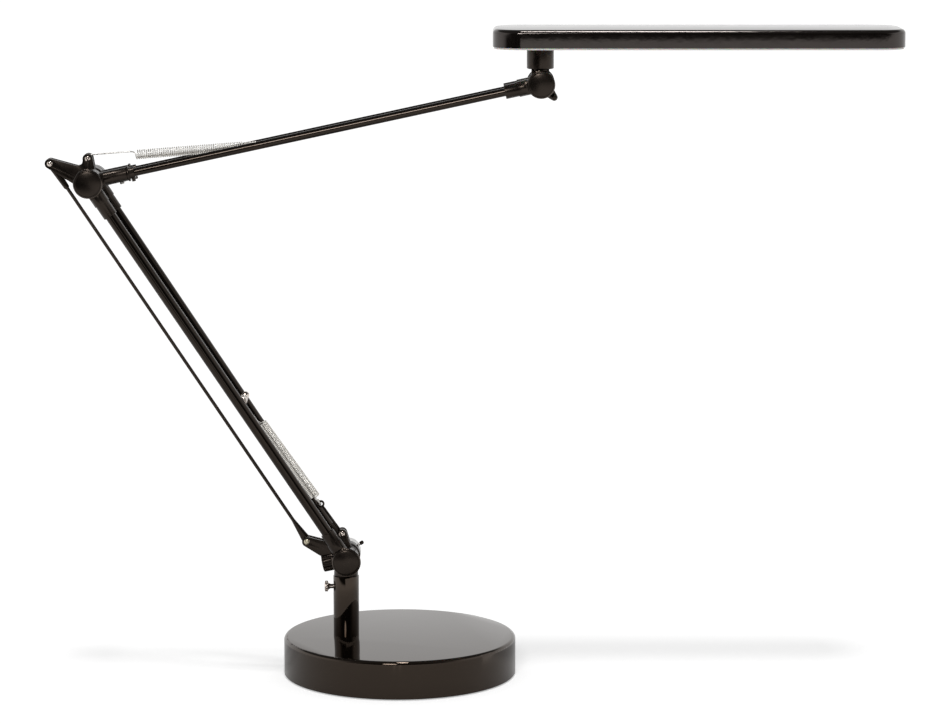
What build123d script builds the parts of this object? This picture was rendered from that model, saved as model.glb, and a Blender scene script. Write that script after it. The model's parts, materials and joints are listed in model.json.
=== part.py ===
from build123d import *
from math import asin, atan2, ceil, cos, degrees, pi, radians, sin, sqrt
import os

# Balanced-arm desk lamp with a round weighted base, two sprung twin-tube arms and a flat LED head.
# Millimetres and degrees. X runs along the lamp head, Y away from the front, Z up.
# The origin is the centre of the underside.

# ---- base and post ----
base_radius = 100.0
base_top = 33.5
base_edge = 1.0          # the cover's lower rim stands this high, so the lamp rests on its pad
cover_wall = 3.5
weight_radius = 94.0
weight_thickness = 15.0
pad_thickness = 2.0
post_x = -46.2
post_radius = 11.05
post_top = 86.5
stem_radius = 7.0
thumbscrew_z = 76.4

# ---- arms ----
base_pivot = Vector(-45.2, 0, 101.5)
lower_angle = 123.4      # direction of the lower arm seen from the front
lower_length = 391.0
upper_angle = 12.2
upper_length = 390.0
lower_tube_radius = 4.75
upper_tube_radius = 3.5
tube_wall = 1.0
bolt_radius = 3.0
running_gap = 0.05       # radial clearance of every turning fit
press_gap = 0.02         # radial clearance of parts that are fixed in one another
side_gap = 0.25          # clearance between the flat faces of parts that turn on one bolt

# distances from the middle plane of the arms
tang_half = 2.75         # half the thickness of the swivel's tang
crank_outer = 5.25
lower_tube_at_base = 14.1
lower_tube_at_elbow = 22.3
upper_tube_side = 9.8
base_eye = (8.6, 19.6)
elbow_eye = (16.1, 28.2)
upper_eye = (5.5, 15.7)

eye_radius = 11.0
cap_radius = 12.0
head_cap_radius = 11.4
cap_height = 3.0
drum_radius = 10.0

# ---- cranks, rod and springs, placed from their pivots ----
rod_lug = (-34.3, 14.8)          # the same on both cranks, so that the rod and lower arm stay parallel
base_spring_lug = (-4.2, 21.5)
elbow_spring_lug = (-2.2, 19.0)
lug_radius = 4.3
rivet_radius = 2.0
rod_radius = 1.5
rod_eye_radius = 4.0
knob_angle = 191.5
knob_radius = 8.3
knob_reach = (11.7, 21.7)
wire_radius = 0.6
coil_radius = 3.6                # to the middle of the wire
upper_anchor_at = 142.5
lower_anchor_at = 164.5
lower_anchor_side = 3.9
anchor_pin_radius = 1.8
upper_turns = 50
lower_turns = 44

# ---- head ----
head_x = (79.9, 425.7)
head_width = 82.0
head_corner = 24.0
head_top = 557.7
head_bottom = 542.6
head_wall = 1.8
head_edge = 4.0
diffuser_bottom = 540.9
stub_radius = 11.45
stub_bottom = 522.9
spigot_radius = 5.0
button_x = 399.5
button_radius = 3.0

os.makedirs("parts", exist_ok=True)


def along(angle):
    """Unit vector in the arms' plane, the angle seen from the front."""
    return Vector(cos(radians(angle)), 0, sin(radians(angle)))


def front_plane(point, angle=0.0):
    """Sketch plane seen from the front, its x axis turned by angle; it rises towards the viewer."""
    return Plane(origin=point, x_dir=along(angle), z_dir=(0, -1, 0))


def at_lug(pivot, lug):
    return pivot + Vector(lug[0], 0, lug[1])


def keep(part, name):
    """Label a finished piece and write it."""
    part.label = name
    export_step(part, f"parts/{name}.step")
    return part


elbow_pivot = base_pivot + along(lower_angle) * lower_length
head_pivot = elbow_pivot + along(upper_angle) * upper_length
swivel_x = head_pivot.X - 0.6

# =====================================================================
# Base
# =====================================================================
grommet_z = 23.5
grommet_hole = 4.5
grommet_flange = 6.0
grommet_seat = base_radius - 1.2
screw_ring = 70.0
screw_angles = (30, 150, 270)

with BuildPart() as base_cover:
    with BuildSketch(Plane.XY.offset(base_edge)):
        Circle(base_radius)
    extrude(amount=base_top - base_edge)
    fillet(base_cover.edges().group_by(Axis.Z)[-1], radius=3.0)
    chamfer(base_cover.edges().group_by(Axis.Z)[0], length=0.6)
    with BuildSketch(Plane.XY.offset(base_edge)):
        Circle(base_radius - cover_wall)
    extrude(amount=base_top - cover_wall - base_edge, mode=Mode.SUBTRACT)
    with BuildSketch(Plane.XY.offset(pad_thickness + weight_thickness)):
        with PolarLocations(screw_ring, len(screw_angles), start_angle=screw_angles[0]):
            Circle(5)
    extrude(amount=base_top - cover_wall - pad_thickness - weight_thickness)
    with BuildSketch(Plane.XY.offset(pad_thickness + weight_thickness)):
        with PolarLocations(screw_ring, len(screw_angles), start_angle=screw_angles[0]):
            Circle(1.7)
    extrude(amount=10, mode=Mode.SUBTRACT)
    with Locations((post_x, 0, base_top)):
        Hole(6.1, depth=2 * cover_wall)
    with BuildSketch(Plane(origin=(0, 0, grommet_z), x_dir=(1, 0, 0), z_dir=(0, 1, 0))):
        Circle(grommet_hole)
    extrude(amount=base_radius + 1, mode=Mode.SUBTRACT)
    with BuildSketch(Plane(origin=(0, grommet_seat, grommet_z), x_dir=(1, 0, 0), z_dir=(0, 1, 0))):
        Circle(grommet_flange + 0.2)
    extrude(amount=3, mode=Mode.SUBTRACT)
keep(base_cover.part, "base_cover")

with BuildPart() as base_weight:
    with BuildSketch(Plane.XY.offset(pad_thickness)):
        Circle(weight_radius)
    extrude(amount=weight_thickness)
    chamfer(base_weight.edges().filter_by(GeomType.CIRCLE).group_by(Axis.Z)[-1], length=1.5)
    with Locations(Plane.XY.offset(pad_thickness)):
        with PolarLocations(screw_ring, len(screw_angles), start_angle=screw_angles[0]):
            with Locations(Rot(180, 0, 0)):
                CounterSinkHole(radius=2.2, counter_sink_radius=4.2)
keep(base_weight.part, "base_weight")

with BuildPart() as weight_screws:
    with BuildSketch(Plane.XZ) as screw_outline:
        with BuildLine():
            Polyline(
                (0, pad_thickness + 0.2), (4.0, pad_thickness + 0.2), (2.0, pad_thickness + 2.2),
                (1.65, pad_thickness + 4), (1.65, pad_thickness + weight_thickness + 7),
                (0, pad_thickness + weight_thickness + 7.6), (0, pad_thickness + 0.2),
            )
        make_face()
    screw_body = revolve(screw_outline.sketch, axis=Axis.Z, mode=Mode.PRIVATE)
    with PolarLocations(screw_ring, len(screw_angles), start_angle=screw_angles[0]):
        add(screw_body)
keep(weight_screws.part, "weight_screws")

with BuildPart() as base_pad:
    with BuildSketch():
        Circle(base_radius - cover_wall - 0.3)
    extrude(amount=pad_thickness)
    chamfer(base_pad.edges().group_by(Axis.Z)[0], length=0.5)
keep(base_pad.part, "base_pad")

rear_plane = Plane(origin=(0, 0, grommet_z), x_dir=(1, 0, 0), z_dir=(0, 1, 0))
with BuildPart() as cord_grommet:
    with BuildSketch(rear_plane.offset(grommet_seat)):
        Circle(grommet_flange)
    extrude(amount=2.0)
    fillet(cord_grommet.edges().group_by(Axis.Y)[-1], radius=0.8)
    with BuildSketch(rear_plane.offset(grommet_seat - 4.2)):
        Circle(grommet_hole)
    extrude(amount=4.2)
    with BuildSketch(rear_plane.offset(grommet_seat - 4.2)):
        Circle(2.6)
    extrude(amount=8, mode=Mode.SUBTRACT)
keep(cord_grommet.part, "cord_grommet")

# =====================================================================
# Post, its fixings and the thumbscrew that clamps the swivel
# =====================================================================
post_axis = Plane(origin=(post_x, 0, 0))
spigot_foot = 19.5
with BuildPart() as post:
    with BuildSketch(post_axis.offset(base_top)):
        Circle(post_radius)
    extrude(amount=post_top - base_top)
    chamfer(post.edges().group_by(Axis.Z)[-1], length=0.7)
    with BuildSketch(post_axis.offset(spigot_foot)):
        Circle(6.0)
    extrude(amount=base_top - spigot_foot)
    with BuildSketch(post_axis.offset(spigot_foot)):
        Circle(3.5)
    extrude(amount=base_top - spigot_foot + 5, mode=Mode.SUBTRACT)
    with BuildSketch(post_axis.offset(base_top + 4)):
        Circle(9.0)
    extrude(amount=post_top - base_top, mode=Mode.SUBTRACT)
    with BuildSketch(Plane(origin=(post_x, 0, thumbscrew_z), z_dir=(-1, 0, 0))):
        Circle(2.0 + running_gap)
    extrude(amount=post_radius + 1, mode=Mode.SUBTRACT)
keep(post.part, "post")

with BuildPart() as post_bush:
    with BuildSketch(post_axis.offset(post_top - 34)):
        Circle(9.0)
        Circle(stem_radius + running_gap, mode=Mode.SUBTRACT)
    extrude(amount=34)
    with BuildSketch(Plane(origin=(post_x, 0, thumbscrew_z), z_dir=(-1, 0, 0))):
        Circle(2.0 + running_gap)
    extrude(amount=post_radius + 1, mode=Mode.SUBTRACT)
keep(post_bush.part, "post_bush")

with BuildPart() as post_washer:
    with BuildSketch(post_axis.offset(base_top - cover_wall - 1.6)):
        Circle(15)
        Circle(6.1, mode=Mode.SUBTRACT)
    extrude(amount=1.6)
keep(post_washer.part, "post_washer")

with BuildPart() as post_nut:
    with BuildSketch(post_axis.offset(base_top - cover_wall - 1.6 - 6)):
        RegularPolygon(radius=9.5, side_count=6, major_radius=False)
        Circle(6.02, mode=Mode.SUBTRACT)
    extrude(amount=6)
keep(post_nut.part, "post_nut")

screw_tip = 5.9
head_in = 13.1
head_out = 18.4
with BuildPart() as thumbscrew:
    with BuildSketch(Plane.XZ):
        with BuildLine():
            Line((post_x - screw_tip, thumbscrew_z), (post_x - screw_tip, thumbscrew_z + 1.2))
            Line((post_x - screw_tip, thumbscrew_z + 1.2), (post_x - screw_tip - 0.8, thumbscrew_z + 2))
            Line((post_x - screw_tip - 0.8, thumbscrew_z + 2), (post_x - head_in, thumbscrew_z + 2))
            ThreePointArc(
                (post_x - head_in, thumbscrew_z + 2),
                (post_x - head_in - 1.7, thumbscrew_z + 2.8),
                (post_x - head_in - 2.6, thumbscrew_z + 4.7),
            )
            Line((post_x - head_in - 2.6, thumbscrew_z + 4.7), (post_x - head_out + 0.5, thumbscrew_z + 4.7))
            Line((post_x - head_out + 0.5, thumbscrew_z + 4.7), (post_x - head_out, thumbscrew_z + 4.1))
            Line((post_x - head_out, thumbscrew_z + 4.1), (post_x - head_out, thumbscrew_z))
            Line((post_x - head_out, thumbscrew_z), (post_x - screw_tip, thumbscrew_z))
        make_face()
    revolve(axis=Axis((post_x, 0, thumbscrew_z), (1, 0, 0)))
    with BuildSketch(Plane(origin=(post_x - head_out, 0, thumbscrew_z), z_dir=(-1, 0, 0))):
        with PolarLocations(4.9, 16):
            Circle(0.45)
    extrude(amount=-2.6, mode=Mode.SUBTRACT)
keep(thumbscrew.part, "thumbscrew")

# =====================================================================
# Swivel: stem with tang, two crank plates, friction washers and rivets
# =====================================================================
stem_foot = post_top - 32
collar_top = post_top + 3
with BuildPart() as swivel_stem:
    with BuildSketch(post_axis.offset(stem_foot)):
        Circle(stem_radius)
    extrude(amount=post_top - stem_foot)
    chamfer(swivel_stem.edges().group_by(Axis.Z)[0], length=1)
    with BuildSketch(post_axis.offset(thumbscrew_z - 3)):
        Circle(stem_radius)
        Circle(screw_tip - 0.4, mode=Mode.SUBTRACT)
    extrude(amount=6, mode=Mode.SUBTRACT)
    with BuildSketch(post_axis.offset(post_top + 0.1)):
        Circle(10.4)
    extrude(amount=collar_top - post_top - 0.1)
    with BuildSketch(post_axis.offset(post_top)):
        Circle(stem_radius)
    extrude(amount=0.1)
    with BuildSketch(front_plane(base_pivot).offset(-tang_half)):
        Circle(10)
        with Locations((post_x - base_pivot.X, (collar_top - base_pivot.Z) / 2)):
            Rectangle(15, base_pivot.Z - collar_top)
    extrude(amount=2 * tang_half)
    with BuildSketch(front_plane(base_pivot).offset(-tang_half)):
        Circle(bolt_radius + running_gap)
    extrude(amount=2 * tang_half, mode=Mode.SUBTRACT)
    with BuildSketch(Plane(origin=base_pivot, z_dir=along(knob_angle))):
        Circle(1.6)
    extrude(amount=12, mode=Mode.SUBTRACT)
keep(swivel_stem.part, "swivel_stem")


def crank_outline(spring_lug, hub_radius, neck_radius):
    """Bell-crank plate: an arm to the rod's lug and a short arm to the spring's lug."""
    with BuildSketch() as outline:
        with BuildSketch() as rod_arm:
            Circle(hub_radius)
            with Locations(rod_lug):
                Circle(lug_radius)
            make_hull()
        with BuildSketch() as spring_arm:
            Circle(neck_radius)
            with Locations(spring_lug):
                Circle(lug_radius)
            make_hull()
        Circle(hub_radius)
        offset(amount=4.5, kind=Kind.ARC)
        offset(amount=-4.5, kind=Kind.ARC)
    return outline.sketch


def crank_plate(pivot, spring_lug, hub_radius, neck_radius, knob_notch):
    """Near crank plate; the far one is its mirror image."""
    outline = crank_outline(spring_lug, hub_radius, neck_radius)
    with BuildPart() as plate:
        with BuildSketch(front_plane(pivot).offset(tang_half)):
            add(outline)
            Circle(bolt_radius + running_gap, mode=Mode.SUBTRACT)
            with Locations(rod_lug, spring_lug):
                Circle(rivet_radius, mode=Mode.SUBTRACT)
        extrude(amount=crank_outer - tang_half)
        if knob_notch:
            with BuildSketch(Plane(origin=pivot + along(knob_angle) * 10.3, z_dir=along(knob_angle))):
                Circle(knob_radius + 0.6)
            extrude(amount=14, mode=Mode.SUBTRACT)
    return plate.part


def pair(near, far=None):
    """A near piece and a far one, or the near one's mirror image, as two solids of one node."""
    with BuildPart() as both:
        add(near)
        if far is None:
            mirror(near, about=Plane.XZ)
        else:
            mirror(far, about=Plane.XZ)
    return both.part


base_crank = crank_plate(base_pivot, base_spring_lug, 10.0, 6.5, True)
keep(pair(base_crank), "base_crank_plates")

with BuildPart() as friction_washers:
    with BuildSketch(front_plane(base_pivot).offset(crank_outer)) as washer_face:
        Circle(10)
        Circle(bolt_radius + running_gap, mode=Mode.SUBTRACT)
    extrude(amount=base_eye[0] - side_gap - crank_outer)
    mirror(about=Plane.XZ)
keep(friction_washers.part, "friction_washers")


def rivet(point, head_radius, head_height, hollow):
    """Pin through both crank plates, with a low dome on each end."""
    grip = crank_outer
    dome = (head_radius ** 2 + head_height ** 2) / (2 * head_height)
    half = asin(head_radius / dome) / 2
    shoulder = (dome * sin(half), grip + head_height - dome * (1 - cos(half)))
    with BuildPart() as body:
        with BuildSketch(Plane(origin=point, x_dir=(1, 0, 0), z_dir=(0, 0, 1))):
            with BuildLine():
                Line((0, 0), (0, grip + head_height))
                ThreePointArc((0, grip + head_height), shoulder, (head_radius, grip))
                Line((head_radius, grip), (rivet_radius, grip))
                Line((rivet_radius, grip), (rivet_radius, 0))
                Line((rivet_radius, 0), (0, 0))
            make_face()
            mirror(about=Plane(origin=point, z_dir=(0, 1, 0)))
        revolve(axis=Axis(point, (0, 1, 0)))
        if hollow:
            for side in (1, -1):
                with BuildSketch(Plane(origin=point + Vector(0, side * (grip + 2), 0), z_dir=(0, side, 0))):
                    Circle(0.9)
                extrude(amount=-3.5, mode=Mode.SUBTRACT)
    return body.part


keep(rivet(at_lug(base_pivot, rod_lug), 2.6, 1.2, False), "rod_rivet_lower")
keep(rivet(at_lug(base_pivot, base_spring_lug), 2.5, 1.0, True), "spring_rivet_lower")

# tension knob, screwed into the tang from the side
knob_plane = Plane(origin=base_pivot, z_dir=along(knob_angle))
flute_count = 12
with BuildPart() as tension_knob:
    with BuildSketch(knob_plane.offset(knob_reach[0])):
        Circle(knob_radius)
    extrude(amount=knob_reach[1] - knob_reach[0])
    fillet(tension_knob.edges().sort_by(Axis(base_pivot, along(knob_angle)))[-1], radius=1.2)
    with BuildSketch(knob_plane.offset(knob_reach[0] + 1.6)):
        with PolarLocations(knob_radius + 0.35, flute_count):
            Circle(1.25)
    extrude(amount=knob_reach[1], mode=Mode.SUBTRACT)
    with BuildSketch(knob_plane.offset(knob_reach[1])):
        Circle(4.6)
    extrude(amount=-0.8, mode=Mode.SUBTRACT)
    with BuildSketch(knob_plane.offset(10.6)):
        Circle(4.0)
    extrude(amount=knob_reach[0] - 10.6)
keep(tension_knob.part, "tension_knob")

with BuildPart() as knob_stud:
    with BuildSketch(knob_plane.offset(3.9)):
        Circle(1.55)
    extrude(amount=10.6 - 3.9)
keep(knob_stud.part, "knob_stud")

# =====================================================================
# Lower arm
# =====================================================================
lower_near_base = base_pivot + Vector(0, -lower_tube_at_base, 0)
lower_near_elbow = elbow_pivot + Vector(0, -lower_tube_at_elbow, 0)
upper_near_elbow = elbow_pivot + Vector(0, -upper_tube_side, 0)
upper_near_head = head_pivot + Vector(0, -upper_tube_side, 0)


def arm_socket(pivot, angle, eye, tube_from, tube_to, tube_radius, sleeve, step, bolt_gap):
    """Near eye and sleeve of one tube end. sleeve and step are (radius, distance from the pivot)."""
    inner, outer = eye
    direction = (tube_to - tube_from).normalized()
    frame = front_plane(pivot, angle)
    sleeve_radius, sleeve_end = sleeve
    step_radius, step_end = step
    with BuildPart() as socket:
        with BuildSketch(Plane(origin=tube_from + direction * 6, z_dir=direction)):
            Circle(sleeve_radius)
        extrude(amount=sleeve_end - 6)
        fillet(socket.edges().sort_by(Axis(tube_from, direction))[-1], radius=0.5)
        with BuildSketch(Plane(origin=tube_from + direction * 6, z_dir=direction)):
            Circle(step_radius)
        extrude(amount=step_end - 6)
        split(bisect_by=front_plane(pivot, angle).offset(inner), keep=Keep.TOP)
        with BuildSketch(frame.offset(inner)):
            Circle(eye_radius)
            with Locations((6, 0)):
                Rectangle(14, 1.7 * step_radius)
        extrude(amount=outer - inner)
        with BuildSketch(frame.offset(outer)):
            Circle(cap_radius + 0.8)
        extrude(amount=4, mode=Mode.SUBTRACT)
        with BuildSketch(Plane(origin=tube_from + direction * 14, z_dir=direction)):
            Circle(tube_radius + press_gap)
        extrude(amount=sleeve_end, mode=Mode.SUBTRACT)
        with BuildSketch(frame.offset(inner)):
            Circle(bolt_radius + bolt_gap)
        extrude(amount=outer - inner, mode=Mode.SUBTRACT)
        with BuildSketch(frame.offset(inner)):
            with Locations((step_end, 0)):
                SlotOverall(10, 3.2)
        extrude(amount=1.6, mode=Mode.SUBTRACT)
    return socket.part


def bored_for_head(part, point, outer):
    """Counterbore in an eye's outer face for the bolt's head."""
    with BuildPart() as bored:
        add(part)
        with BuildSketch(front_plane(point).offset(outer)):
            Circle(5.6)
        extrude(amount=-3.6, mode=Mode.SUBTRACT)
    return bored.part


base_socket = arm_socket(
    base_pivot, lower_angle, base_eye, lower_near_base, lower_near_elbow,
    lower_tube_radius, (6.1, 30.2), (6.7, 20.0), press_gap,
)
elbow_socket = arm_socket(
    elbow_pivot, lower_angle + 180, elbow_eye, lower_near_elbow, lower_near_base,
    lower_tube_radius, (6.1, 33.2), (6.75, 20.5), press_gap,
)
keep(pair(bored_for_head(base_socket, base_pivot, base_eye[1]), base_socket), "base_sockets")
keep(pair(bored_for_head(elbow_socket, elbow_pivot, elbow_eye[1]), elbow_socket), "elbow_sockets")


def arm_tube(start, finish, radius, inset):
    """Thin-walled tube between two pivots, its ends inside the sleeves."""
    direction = (finish - start).normalized()
    with BuildPart() as tube:
        with BuildSketch(Plane(origin=start + direction * inset, z_dir=direction)):
            Circle(radius)
            Circle(radius - tube_wall, mode=Mode.SUBTRACT)
        extrude(amount=(finish - start).length - 2 * inset)
    return tube.part


lower_tube = arm_tube(lower_near_base, lower_near_elbow, lower_tube_radius, 14.2)
keep(pair(lower_tube), "lower_tubes")


def pivot_bolt(pivot, outer):
    """Bolt through both eyes, its round head let into the near one."""
    with BuildPart() as bolt:
        with BuildSketch(front_plane(pivot).offset(outer - 3.5)):
            Circle(5.4)
        extrude(amount=3.2)
        with BuildSketch(front_plane(pivot).offset(outer - 3.5)):
            Circle(bolt_radius)
        extrude(amount=-(2 * outer - 3.5))
        with BuildSketch(front_plane(pivot).offset(outer - 0.3)):
            RegularPolygon(radius=2.2, side_count=6)
        extrude(amount=-2, mode=Mode.SUBTRACT)
    return bolt.part


def pivot_cap(pivot, outer, radius):
    """Low domed cap over the bolt's head, with a trim step under its rim."""
    with BuildPart() as cap:
        with BuildSketch(Plane(origin=pivot, x_dir=(1, 0, 0), z_dir=(0, 0, 1))):
            with BuildLine():
                Line((0, -outer - 0.6), (0, -outer - cap_height - 0.4))
                ThreePointArc(
                    (0, -outer - cap_height - 0.4),
                    (radius * 0.55, -outer - cap_height - 0.28),
                    (radius - 1.2, -outer - cap_height + 0.1),
                )
                ThreePointArc(
                    (radius - 1.2, -outer - cap_height + 0.1),
                    (radius - 0.3, -outer - cap_height + 0.55),
                    (radius, -outer - cap_height + 1.3),
                )
                Line((radius, -outer - cap_height + 1.3), (radius, -outer - 0.6))
                Line((radius, -outer - 0.6), (0, -outer - 0.6))
            make_face()
        revolve(axis=Axis(pivot, (0, 1, 0)))
    return cap.part


def trim_ring(pivot, outer, radius):
    with BuildPart() as ring:
        with BuildSketch(front_plane(pivot).offset(outer)):
            Circle(radius)
            Circle(6.5, mode=Mode.SUBTRACT)
        extrude(amount=0.6)
    return ring.part


keep(pivot_bolt(base_pivot, base_eye[1]), "base_bolt")
keep(pivot_cap(base_pivot, base_eye[1], cap_radius), "base_cap")
keep(pivot_bolt(elbow_pivot, elbow_eye[1]), "elbow_bolt")
keep(pivot_cap(elbow_pivot, elbow_eye[1], cap_radius), "elbow_cap")
with BuildPart() as lower_trim_rings:
    add(trim_ring(base_pivot, base_eye[1], cap_radius + 0.45))
    add(trim_ring(elbow_pivot, elbow_eye[1], cap_radius + 0.45))
keep(lower_trim_rings.part, "lower_trim_rings")


def drum(pivot, start, finish):
    """Turned drum on the far end of a bolt, grooved round its rim."""
    rear = Plane(origin=pivot, x_dir=(1, 0, 0), z_dir=(0, 1, 0))
    with BuildPart() as body:
        with BuildSketch(rear.offset(start)):
            Circle(drum_radius)
        extrude(amount=finish - start)
        chamfer(body.edges().filter_by(GeomType.CIRCLE), length=0.8)
        for share in (0.3, 0.7):
            with BuildSketch(rear.offset(start + (finish - start) * share)):
                Circle(drum_radius + 1)
                Circle(drum_radius - 0.5, mode=Mode.SUBTRACT)
            extrude(amount=0.9, mode=Mode.SUBTRACT)
    return body.part


elbow_drum = drum(elbow_pivot, elbow_eye[1], elbow_eye[1] + 7)
keep(elbow_drum, "elbow_drum")

# lock drum of the base pivot with its lever, turned by hand
lock_start = base_eye[1] + 0.3
lock_end = base_eye[1] + 13.4
lever_angle = 33.0
lever_plane = Plane(
    origin=base_pivot + Vector(0, (lock_start + lock_end) / 2, 0), z_dir=along(lever_angle)
)
with BuildPart() as lock_drum:
    add(drum(base_pivot, lock_start, lock_end))
    with BuildSketch(lever_plane.offset(6)):
        Circle(1.1)
    extrude(amount=6, mode=Mode.SUBTRACT)
keep(lock_drum.part, "lock_drum")

with BuildPart() as lock_lever:
    with BuildSketch(lever_plane.offset(6.1)):
        Circle(1.1)
    extrude(amount=7.4)
keep(lock_lever.part, "lock_lever")

with BuildPart() as lever_tip:
    with BuildSketch(lever_plane.offset(12.4)):
        Circle(1.6)
    extrude(amount=3.4)
    fillet(lever_tip.edges().sort_by(Axis(base_pivot, along(lever_angle)))[-1], radius=1.2)
    with BuildSketch(lever_plane.offset(12.4)):
        Circle(1.1)
    extrude(amount=1.1, mode=Mode.SUBTRACT)
keep(lever_tip.part, "lever_tip")


def spring_anchor(tube_from, tube_to, at, pin_centre, tube_radius, band_length):
    """Two bands round the tubes with a cross pin that carries the spring's hook."""
    direction = (tube_to - tube_from).normalized()
    centre = tube_from + direction * (at / (direction.dot(Vector(direction.X, 0, direction.Z).normalized())))
    with BuildPart() as anchor:
        with BuildSketch(Plane(origin=centre - direction * (band_length / 2), z_dir=direction)):
            Circle(tube_radius + 1.1)
        extrude(amount=band_length)
        mirror(about=Plane.XZ)
        with BuildSketch(front_plane(pin_centre).offset(centre.Y)):
            Circle(anchor_pin_radius)
        extrude(amount=-2 * centre.Y)
        for side in (1, -1):
            flange = Vector(0, side * (abs(centre.Y) - tube_radius - 0.2), 0)
            with BuildSketch(Plane(origin=pin_centre + flange, z_dir=(0, side, 0))):
                Circle(anchor_pin_radius + 1.6)
            extrude(amount=tube_radius)
        with BuildSketch(Plane(origin=centre - direction * band_length, z_dir=direction)):
            Circle(tube_radius + 0.02)
        extrude(amount=2 * band_length, mode=Mode.SUBTRACT)
        with BuildSketch(Plane(
            origin=Vector(centre.X, -centre.Y, centre.Z) - Vector(direction.X, -direction.Y, direction.Z) * band_length,
            z_dir=Vector(direction.X, -direction.Y, direction.Z),
        )):
            Circle(tube_radius + 0.02)
        extrude(amount=2 * band_length, mode=Mode.SUBTRACT)
    return anchor.part


lower_anchor_pin = base_pivot + along(lower_angle) * lower_anchor_at - along(lower_angle + 90) * lower_anchor_side
upper_anchor_pin = elbow_pivot + along(upper_angle) * upper_anchor_at
keep(
    spring_anchor(lower_near_base, lower_near_elbow, lower_anchor_at, lower_anchor_pin, lower_tube_radius, 12),
    "lower_spring_anchor",
)

# =====================================================================
# Springs: each is one wire, drawn on arcs that join without a corner
# =====================================================================


def joined_arcs(start, start_dir, end, end_dir):
    """Two arcs from start to end that leave and arrive along the given directions."""
    chord = end - start
    total = start_dir + end_dir
    spread = 2 * (1 - start_dir.dot(end_dir))
    reach = chord.dot(total)
    handle = (sqrt(reach ** 2 + spread * chord.dot(chord)) - reach) / spread
    first_corner = start + start_dir * handle
    last_corner = end - end_dir * handle
    middle = (first_corner + last_corner) * 0.5
    TangentArc(start, middle, tangent=start_dir)
    TangentArc(middle, end, tangent=(last_corner - first_corner).normalized())


def tension_spring(name, frame, coil, turns, first_hook, last_hook):
    """One wire: hook round a pin, lead, close coils, lead and hook.

    frame lies on the spring's line, x towards the last hook and z towards the front.
    coil is the stretch that the turns fill. A hook is (centre, radius, lies across the frame).
    """
    coil_from, coil_to = coil
    pitch = (coil_to - coil_from) / turns
    tail = 2 * wire_radius
    bend = 1.3 * coil_radius

    def place(x, y, z):
        return frame.from_local_coords(Vector(x, y, z))

    def heading(x, y, z):
        return (place(x, y, z) - place(0, 0, 0)).normalized()

    def coil_point(turn):
        angle = 2 * pi * turn
        return place(coil_from + pitch * turn, coil_radius * cos(angle), coil_radius * sin(angle))

    def coil_heading(turn):
        angle = 2 * pi * turn
        return heading(pitch / (2 * pi), -coil_radius * sin(angle), coil_radius * cos(angle))

    def hook_point(hook, angle):
        centre, radius, across = hook
        side = radius * sin(radians(angle))
        return place(centre + radius * cos(radians(angle)), 0 if across else side, side if across else 0)

    def hook_heading(hook, angle):
        side = -cos(radians(angle))
        return heading(sin(radians(angle)), 0 if hook[2] else side, side if hook[2] else 0)

    def hook_arcs(hook, first, last):
        middle = (first + last) / 2
        for begin, end in ((first, middle), (middle, last)):
            joined_arcs(
                hook_point(hook, begin), hook_heading(hook, begin), hook_point(hook, end), hook_heading(hook, end)
            )

    forward = heading(1, 0, 0)
    with BuildLine() as wire:
        start = hook_point(first_hook, 330)
        Line(start - hook_heading(first_hook, 330) * tail, start)
        hook_arcs(first_hook, 330, 90)
        lead_start = hook_point(first_hook, 90)
        lead_end = lead_start + forward * (coil_from - bend - first_hook[0])
        Line(lead_start, lead_end)
        joined_arcs(lead_end, forward, coil_point(0.25), coil_heading(0.25))
        for half in range(2 * turns - 1):
            joined_arcs(
                coil_point(0.25 + half / 2), coil_heading(0.25 + half / 2),
                coil_point(0.75 + half / 2), coil_heading(0.75 + half / 2),
            )
        exit_end = hook_point(last_hook, 90)
        exit_start = exit_end - forward * (last_hook[0] - coil_to - bend)
        joined_arcs(coil_point(turns - 0.25), coil_heading(turns - 0.25), exit_start, forward)
        Line(exit_start, exit_end)
        hook_arcs(last_hook, 90, -150)
        finish = hook_point(last_hook, -150)
        Line(finish, finish + hook_heading(last_hook, -150) * tail)
    route = wire.wires()[0]
    with BuildPart() as spring:
        with BuildSketch(Plane(origin=route @ 0, z_dir=route % 0)):
            Circle(wire_radius)
        sweep(path=route)
    report_gap(name, route, spring.part)
    return spring.part


def report_gap(name, line, solid):
    """Print the wire's least gap to itself and compare its volume with section times length."""
    count = int(ceil(line.length / 0.6))
    points = [line @ (step / count) for step in range(count + 1)]
    skip = int(ceil(8 * wire_radius / (line.length / count)))
    least = min(
        (points[first] - points[second]).length
        for first in range(len(points))
        for second in range(first + skip, min(first + 80, len(points)))
    )
    volume = pi * wire_radius ** 2 * line.length
    print(f"{name}: least gap {least - 2 * wire_radius:.2f} mm, volume ratio {solid.volume / volume:.4f}")


def spring_frame(first_pin, last_pin):
    reach = last_pin - first_pin
    return front_plane(first_pin, degrees(atan2(reach.Z, reach.X)))


upper_first = at_lug(elbow_pivot, elbow_spring_lug)
upper_reach = (upper_anchor_pin - upper_first).length
upper_spring = tension_spring(
    "upper_spring", spring_frame(upper_first, upper_anchor_pin), (40.5, 132.5), upper_turns,
    (0, 2.9, False), (upper_reach, 2.7, False),
)
keep(upper_spring, "upper_spring")

# the lower spring hooks into a link that the crank's rivet carries
lower_first = at_lug(base_pivot, base_spring_lug)
lower_reach = (lower_anchor_pin - lower_first).length
lower_frame = spring_frame(lower_first, lower_anchor_pin)
link_length = 31.5
ring_radii = (1.5, 3.2)
ring_wall_middle = link_length + sum(ring_radii) / 2
lower_spring = tension_spring(
    "lower_spring", lower_frame, (39.0, 118.0), lower_turns,
    (ring_wall_middle, ring_wall_middle - link_length, True), (lower_reach, 2.7, False),
)
keep(lower_spring, "lower_spring")

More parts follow.
